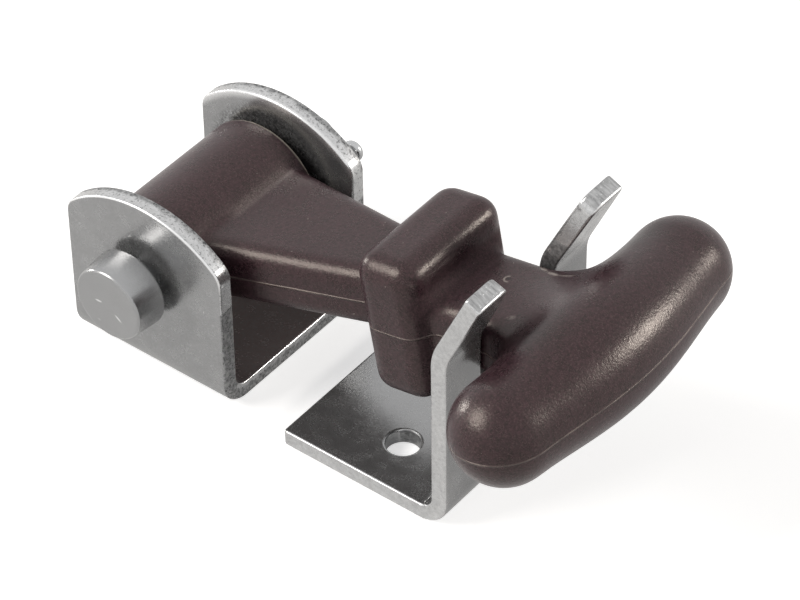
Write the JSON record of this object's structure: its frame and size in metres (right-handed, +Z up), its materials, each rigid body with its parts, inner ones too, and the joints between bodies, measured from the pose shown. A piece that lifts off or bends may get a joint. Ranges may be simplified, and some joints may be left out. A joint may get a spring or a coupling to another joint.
{
  "type": "rubber draw latch",
  "caption": "Rubber draw latch for a case: folded zinc-plated anchor and keeper brackets, T-handled rubber toggle on a clevis pin with a split pin.",
  "frame": {"origin": "on the mounting plane under both brackets, midway between the anchor's two screw holes", "axes": "+X from the anchor to the keeper, along the strap seen from above; +Y along the clevis pin from its head to its split pin; +Z up, square to the mounting plane"},
  "size_m": [0.0848, 0.0516, 0.0419],
  "materials": {
    "zinc_sheet": "bright zinc-plated sheet with sheared edges",
    "zinc_pin": "zinc-plated, turned",
    "split_wire": "zinc-plated drawn wire",
    "rubber": "satin moulded rubber with a parting line"
  },
  "bodies": {
    "brackets": {"anchor_bracket": "zinc_sheet", "keeper_bracket": "zinc_sheet"},
    "toggle": {"rubber_toggle": "rubber"},
    "pin": {"clevis_pin": "zinc_pin", "split_pin": "split_wire"}
  },
  "joints": [
    {"name": "toggle_swing", "type": "hinge", "parent": "brackets", "child": "toggle", "pos_m": [-0.001, 0, 0.0161], "axis": [0, -1, 0], "range_deg": [0, 170], "deforming": ["rubber_toggle"]},
    {"name": "pin_turn", "type": "hinge", "parent": "brackets", "child": "pin", "pos_m": [-0.001, 0, 0.0161], "axis": [0, -1, 0], "continuous": true}
  ]
}
